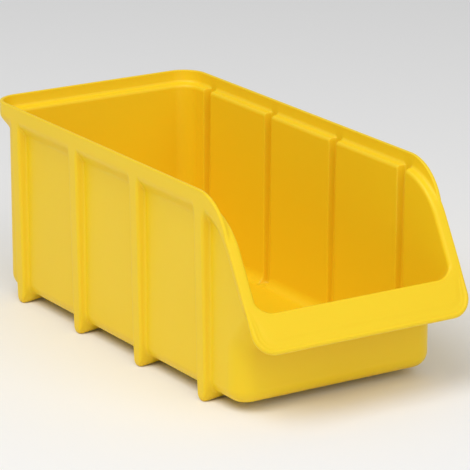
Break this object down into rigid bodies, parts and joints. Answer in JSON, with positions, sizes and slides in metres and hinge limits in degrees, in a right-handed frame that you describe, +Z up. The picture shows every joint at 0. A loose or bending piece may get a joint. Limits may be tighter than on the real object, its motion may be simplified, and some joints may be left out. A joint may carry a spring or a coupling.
{
  "type": "stackable storage bin",
  "caption": "Open-fronted plastic stacking bin with a raised rim, an inner stacking ledge, hollow side ribs ending in feet, and a sloping front collar with a wide lip.",
  "frame": {"origin": "centre of the bin's plan box, on the plane its feet stand on", "axes": "+Z up, +Y towards the back wall so the open front faces -Y, +X to the right-hand side seen from the front"},
  "size_m": [0.1448, 0.3019, 0.124],
  "materials": {
    "yellow_polypropylene": "satin moulded polypropylene, golden yellow, coloured right through"
  },
  "bodies": {
    "root": {"back_wall": "yellow_polypropylene", "base_tray": "yellow_polypropylene", "corner_back_left": "yellow_polypropylene", "corner_back_right": "yellow_polypropylene", "corner_front_left": "yellow_polypropylene", "corner_front_right": "yellow_polypropylene", "foot_left_1": "yellow_polypropylene", "foot_left_2": "yellow_polypropylene", "foot_left_3": "yellow_polypropylene", "foot_left_4": "yellow_polypropylene", "foot_right_1": "yellow_polypropylene", "foot_right_2": "yellow_polypropylene", "foot_right_3": "yellow_polypropylene", "foot_right_4": "yellow_polypropylene", "front_leaning_panel": "yellow_polypropylene", "front_lip": "yellow_polypropylene", "front_wall": "yellow_polypropylene", "ledge_back": "yellow_polypropylene", "ledge_left_1": "yellow_polypropylene", "ledge_left_2": "yellow_polypropylene", "ledge_left_3": "yellow_polypropylene", "ledge_right_1": "yellow_polypropylene", "ledge_right_2": "yellow_polypropylene", "ledge_right_3": "yellow_polypropylene", "lip_edge_bead": "yellow_polypropylene", "rim_back": "yellow_polypropylene", "rim_left": "yellow_polypropylene", "rim_right": "yellow_polypropylene", "side_flange_left": "yellow_polypropylene", "side_flange_right": "yellow_polypropylene", "side_panel_1_left": "yellow_polypropylene", "side_panel_1_right": "yellow_polypropylene", "side_panel_2_left": "yellow_polypropylene", "side_panel_2_right": "yellow_polypropylene", "side_panel_3_left": "yellow_polypropylene", "side_panel_3_right": "yellow_polypropylene", "side_panel_4_left": "yellow_polypropylene", "side_panel_4_right": "yellow_polypropylene", "side_rib_left_1": "yellow_polypropylene", "side_rib_left_2": "yellow_polypropylene", "side_rib_left_3": "yellow_polypropylene", "side_rib_left_4": "yellow_polypropylene", "side_rib_right_1": "yellow_polypropylene", "side_rib_right_2": "yellow_polypropylene", "side_rib_right_3": "yellow_polypropylene", "side_rib_right_4": "yellow_polypropylene"}
  },
  "joints": []
}
